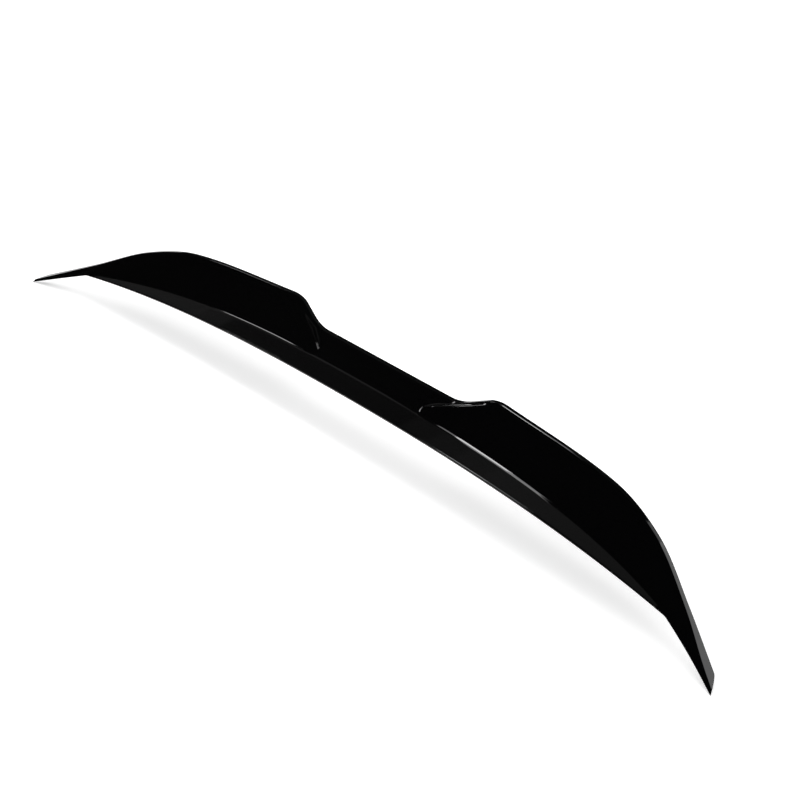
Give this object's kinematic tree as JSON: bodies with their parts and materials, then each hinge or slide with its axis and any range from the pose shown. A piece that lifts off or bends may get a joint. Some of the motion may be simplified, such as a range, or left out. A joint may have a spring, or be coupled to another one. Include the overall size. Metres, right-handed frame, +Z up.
{
  "type": "car rear spoiler",
  "caption": "Gloss black lip spoiler for a boot lid's rear edge: a low middle, two raised wings and pointed tips, moulded as one hollow shell.",
  "frame": {"origin": "middle of the leading edge, on the boot lid's surface, in the centre plane", "axes": "+X across the car, +Y to the rear of the car, +Z up"},
  "size_m": [1.15, 0.1005, 0.0949],
  "materials": {
    "gloss_black_abs": "injection-moulded ABS, piano black, high gloss outside and plain moulded inside"
  },
  "bodies": {
    "root": {"spoiler_body": "gloss_black_abs"}
  },
  "joints": []
}
